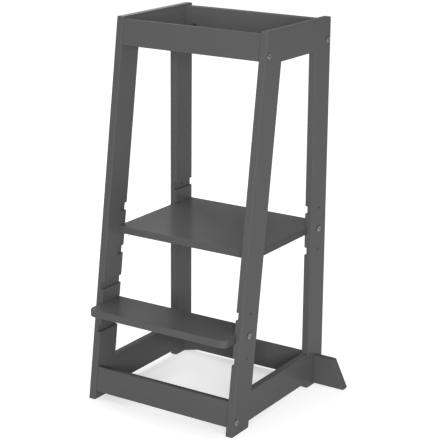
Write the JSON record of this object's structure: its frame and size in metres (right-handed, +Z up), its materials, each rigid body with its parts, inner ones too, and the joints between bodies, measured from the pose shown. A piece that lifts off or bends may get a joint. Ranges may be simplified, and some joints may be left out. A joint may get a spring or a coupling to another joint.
{
  "type": "toddler kitchen helper stool",
  "caption": "Tall grey painted wooden stool frame for a toddler, with a ring of rails at the top, a height-adjustable platform and step in grooves, and outreaching rear feet.",
  "frame": {"origin": "on the floor, at the middle of the stool's outline seen from above", "axes": "+Z up, -Y towards the climbing side with the step, +Y towards the worktop, +X to the right when seen from the climbing side"},
  "size_m": [0.5672, 0.425, 0.9],
  "materials": {
    "grey_paint": "solid wood boards with an opaque neutral grey satin paint",
    "nickel_steel": "dark nickel-plated steel bolts, satin",
    "zinc_steel": "dark zinc-plated steel barrel nuts and screws, satin",
    "beech_dowel": "plain unpainted beech"
  },
  "bodies": {
    "frame": {"anti_tip_board": "grey_paint", "anti_tip_screws": "zinc_steel", "front_bottom_rail": "grey_paint", "front_bottom_rail_bolts": "nickel_steel", "front_bottom_rail_dowels": "beech_dowel", "front_bottom_rail_nuts": "zinc_steel", "front_post_left": "grey_paint", "front_post_right": "grey_paint", "front_top_rail": "grey_paint", "front_top_rail_bolts": "nickel_steel", "front_top_rail_dowels": "beech_dowel", "front_top_rail_nuts": "zinc_steel", "platform": "grey_paint", "platform_nuts": "zinc_steel", "rear_post_left": "grey_paint", "rear_post_right": "grey_paint", "rear_top_rail": "grey_paint", "rear_top_rail_bolts": "nickel_steel", "rear_top_rail_dowels": "beech_dowel", "rear_top_rail_nuts": "zinc_steel", "side_bottom_rail_left": "grey_paint", "side_bottom_rail_right": "grey_paint", "side_frame_dowels_left": "beech_dowel", "side_frame_dowels_right": "beech_dowel", "side_top_rail_left": "grey_paint", "side_top_rail_right": "grey_paint", "step": "grey_paint", "step_nuts": "zinc_steel"},
    "platform_bolt_left": {"platform_bolt_left": "nickel_steel"},
    "platform_bolt_right": {"platform_bolt_right": "nickel_steel"},
    "step_bolt_left": {"step_bolt_left": "nickel_steel"},
    "step_bolt_right": {"step_bolt_right": "nickel_steel"}
  },
  "joints": [
    {"name": "platform_bolt_left_draw", "type": "slide", "parent": "frame", "child": "platform_bolt_left", "axis": [-1, 0, 0], "range_m": [0, 0.038]},
    {"name": "platform_bolt_right_draw", "type": "slide", "parent": "frame", "child": "platform_bolt_right", "axis": [1, 0, 0], "range_m": [0, 0.038]},
    {"name": "step_bolt_left_draw", "type": "slide", "parent": "frame", "child": "step_bolt_left", "axis": [-1, 0, 0], "range_m": [0, 0.038]},
    {"name": "step_bolt_right_draw", "type": "slide", "parent": "frame", "child": "step_bolt_right", "axis": [1, 0, 0], "range_m": [0, 0.038]}
  ]
}
